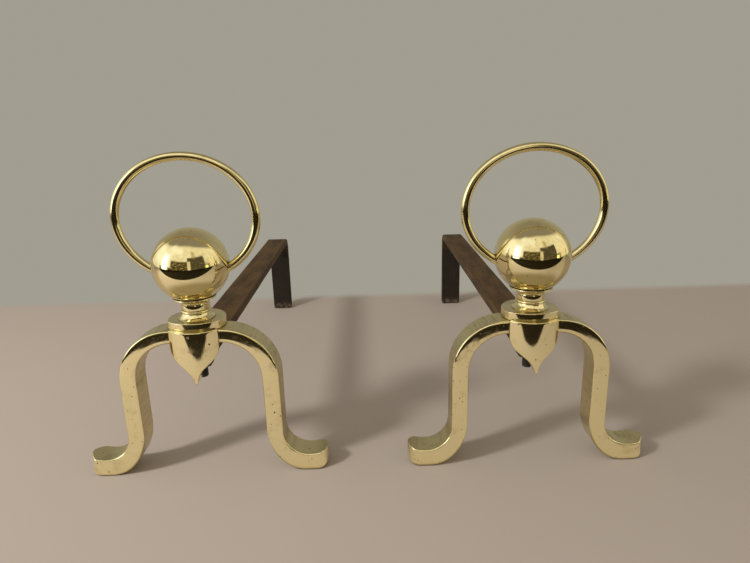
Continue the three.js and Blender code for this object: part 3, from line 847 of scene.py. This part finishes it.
def make_floor():
    mesh = bpy.data.meshes.new("floor")
    far = FLOOR_REACH
    mesh.from_pydata([(-far, -far, 0), (far, -far, 0), (far, far, 0), (-far, far, 0)], [],
                     [(0, 1, 2, 3)])
    floor = bpy.data.objects.new("floor", mesh)
    bpy.context.collection.objects.link(floor)
    mat, g = new_material("floor")
    mesh.materials.append(mat)
    spot = g.node("ShaderNodeTexCoord").outputs["Object"]
    back = g.node("ShaderNodeSeparateXYZ", {0: spot}).outputs[1]
    pale = g.blend(g.math("MULTIPLY", g.noise(spot, 9, 4), 0.25), FLOOR,
                   tuple(FLOOR_DIMMED * c for c in FLOOR))
    near = g.smooth(back, FRONT_FLOOR_FROM - 0.05, FRONT_FLOOR_FROM + 0.05, 1.0, 0.0)
    # Painted light and shade for reflections: brighter where a glossy ray grazes the cloth, darker where
    # it looks down on it
    facing = g.node("ShaderNodeLayerWeight", {"Blend": 0.5}).outputs["Facing"]
    mirrored = g.blend(g.smooth(facing, 0.18, 0.42), FLOOR_SHADED_FROM_ABOVE, FLOOR_GRAZED_LIT)
    mirrored = g.blend(near, pale, mirrored)
    # Painted dark room: glossy rays see the floor nearly black beyond the front edge
    beyond = g.smooth(back, FRONT_EDGE - 0.004, FRONT_EDGE + 0.004, 1.0, 0.0)
    mirrored = g.blend(beyond, mirrored, FLOOR_DARK_ROOM)
    ray = g.node("ShaderNodeLightPath")
    colour = g.blend(ray.outputs["Is Glossy Ray"], pale, mirrored)
    matt = g.node("ShaderNodeBsdfDiffuse", {"Color": colour})
    behind = g.node("ShaderNodeEmission", {"Color": (*BACKGROUND, 1.0), "Strength": 1.0})
    seen = g.math("MAXIMUM", ray.outputs["Is Camera Ray"], ray.outputs["Is Glossy Ray"])
    zone = g.math("MULTIPLY", g.smooth(back, BACKGROUND_FROM, BACKGROUND_WHOLE), seen)
    surface = g.node("ShaderNodeMixShader", {0: zone, 1: matt.outputs[0], 2: behind.outputs[0]})
    g.node("ShaderNodeOutputMaterial", {"Surface": surface.outputs[0]})


# Light: a world that is bright in front and above, and dim behind, as in a room, and one soft lamp

SKY_TOP = (0.27, 0.25, 0.215)
CEILING = (1.02, 0.985, 0.85)
CEILING_DIM = (0.82, 0.77, 0.61)
CEILING_ARCH = 0.0028
ROOM_LIT = (0.62, 0.54, 0.33)
LAMP_SIZE = 0.24
LAMP_WATTS = 18.0
LAMP_COLOUR = (1.0, 0.99, 0.97)
LAMP_PLACE = (-1.2, -0.95, 1.15)

# Soft rectangles round the pair: turns and heights in degrees (turn 0 is in front), softness,
# strength, how much of it is lit squares, and tone
ROOM = (
    ((10, 70), (42, 60), 8, 0.8, 0.0, (1.15, 1.20, 1.22)),
    ((46, 108), (4, 40), 9, 0.85, 0.0, (1.18, 1.26, 1.30)),
    ((-100, -56), (-40, 8), 3, 1.0, 0.7, (0.24, 0.19, 0.10)),
    ((-60, -7), (-40, 33), 2, 1.0, 0.12, (0.085, 0.074, 0.047)),
    ((-8, 44), (-40, 22), 3, 1.0, 0.5, (0.085, 0.066, 0.024)),
    ((40, 82), (-40, 3), 3, 1.0, 0.4, (0.055, 0.043, 0.022)),
    ((-34, -22), (30, 50), 3, 0.7, 0.0, (0.42, 0.34, 0.16)),
    ((-16, -7), (-13, 22), 1.5, 1.0, 0.0, (0.80, 0.72, 0.52)),
    ((-97, -74), (-3, 20), 4, 0.9, 0.0, (0.98, 0.88, 0.62)),
    ((56, 74), (-5, 30), 5, 1.0, 0.0, (2.5, 2.7, 2.9)),
    ((-68, -59), (-6, 4), 1.5, 1.0, 0.0, (1.5, 1.6, 0.75)),
)


def make_world():
    world = bpy.data.worlds.new("studio")
    bpy.context.scene.world = world
    world.use_nodes = True
    g = Graph(world.node_tree)
    way = g.node("ShaderNodeTexCoord").outputs["Generated"]
    axes = g.node("ShaderNodeSeparateXYZ", {0: way}).outputs
    height = g.math("MULTIPLY", g.math("ARCSINE", axes[2]), 180 / math.pi)
    turn = g.math("MULTIPLY", g.math("ARCTAN2", g.math("MULTIPLY", axes[0], -1.0),
                                     g.math("MULTIPLY", axes[1], -1.0)), 180 / math.pi)

    def band(value, low, high, soft):
        rising = g.smooth(value, low - soft, low + soft)
        falling = g.smooth(value, high - soft, high + soft, 1.0, 0.0)
        return g.math("MULTIPLY", rising, falling)

    def patch(turns, heights, soft):
        return g.math("MULTIPLY", band(turn, *turns, soft), band(height, *heights, soft))

    sky = g.blend(g.smooth(height, 15, 60), BACKGROUND, SKY_TOP)
    arch = g.math("ADD", height, g.math("MULTIPLY", g.math("MULTIPLY", turn, turn), CEILING_ARCH))
    ceiling = g.math("MULTIPLY", band(turn, -110, 125, 6), band(arch, 6, 68, 7))
    sky = g.blend(ceiling, sky, CEILING)
    stir = g.noise(way, 7, 3, 0.6)
    sky = g.blend(g.math("MULTIPLY", ceiling, g.smooth(stir, 0.3, 0.7)), sky, CEILING_DIM)
    squares = g.node("ShaderNodeCombineXYZ", {0: g.math("MULTIPLY", turn, 0.22),
                                              1: g.math("MULTIPLY", height, 0.34)}).outputs[0]
    cell = g.node("ShaderNodeTexVoronoi", {"Vector": squares, "Scale": 1.0}, distance="CHEBYCHEV")
    number = g.node("ShaderNodeSeparateColor", {0: cell.outputs["Color"]}).outputs[0]
    lit = g.math("MULTIPLY", g.smooth(height, -16, -10), g.smooth(number, 0.6, 1.0))
    for turns, heights, soft, share, busy, tone in ROOM:
        here = patch(turns, heights, soft)
        sky = g.blend(g.math("MULTIPLY", here, share), sky, tone)
        if busy:
            squared = g.math("MULTIPLY", g.math("MULTIPLY", here, lit), busy)
            sky = g.blend(squared, sky, ROOM_LIT)
    camera = g.node("ShaderNodeLightPath").outputs["Is Camera Ray"]
    seen = g.blend(camera, sky, BACKGROUND)
    light = g.node("ShaderNodeBackground", {"Color": seen, "Strength": 1.0})
    g.node("ShaderNodeOutputWorld", {"Surface": light.outputs[0]})


def make_lamp():
    data = bpy.data.lights.new("soft_lamp", "AREA")
    data.shape = "DISK"
    data.size = LAMP_SIZE
    data.energy = LAMP_WATTS
    data.color = LAMP_COLOUR
    lamp = bpy.data.objects.new("soft_lamp", data)
    bpy.context.collection.objects.link(lamp)
    place = Vector(LAMP_PLACE)
    lamp.location = place
    lamp.rotation_euler = (-place).to_track_quat("-Z", "Y").to_euler()
    lamp.visible_glossy = False


make_floor()
make_world()
make_lamp()

bpy.context.scene.view_settings.view_transform = "Standard"
